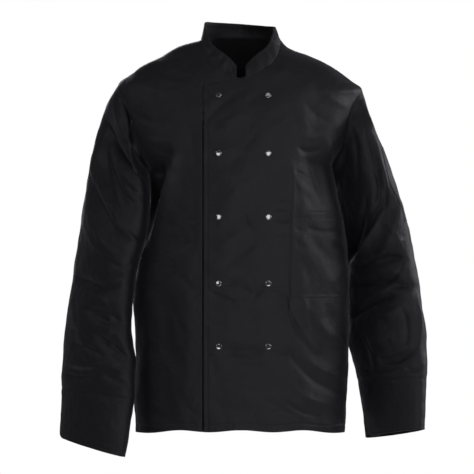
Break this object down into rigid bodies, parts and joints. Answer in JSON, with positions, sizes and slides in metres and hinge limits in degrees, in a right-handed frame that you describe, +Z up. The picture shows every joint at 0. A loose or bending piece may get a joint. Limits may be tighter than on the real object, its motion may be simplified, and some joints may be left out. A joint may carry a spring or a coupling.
{
  "type": "chef jacket",
  "caption": "Double-breasted chef jacket in its worn, hollow shape: stand collar, overlapping fronts with domed press studs, slit cuffs, patch pocket and pen pocket.",
  "frame": {"origin": "middle of the neck base, level with the tops of the shoulders, where the wearer's neck and shoulders hold the jacket", "axes": "+Z up, +X to the wearer's left, the front faces -Y"},
  "size_m": [0.6977, 0.2672, 0.8251],
  "materials": {
    "twill": "black poly-cotton twill, soft sheen, top-stitched in black",
    "stud": "gloss black domed press-stud caps"
  },
  "bodies": {
    "root": {"front_over": "twill", "front_under": "twill", "back": "twill", "collar": "twill", "sleeve_left": "twill", "sleeve_right": "twill", "cuff_left": "twill", "cuff_right": "twill", "chest_pocket": "twill", "pen_pocket": "twill", "stud_right_1": "stud", "stud_right_2": "stud", "stud_right_3": "stud", "stud_right_4": "stud", "stud_right_5": "stud", "stud_left_1": "stud", "stud_left_2": "stud", "stud_left_3": "stud", "stud_left_4": "stud", "stud_left_5": "stud"}
  },
  "joints": []
}
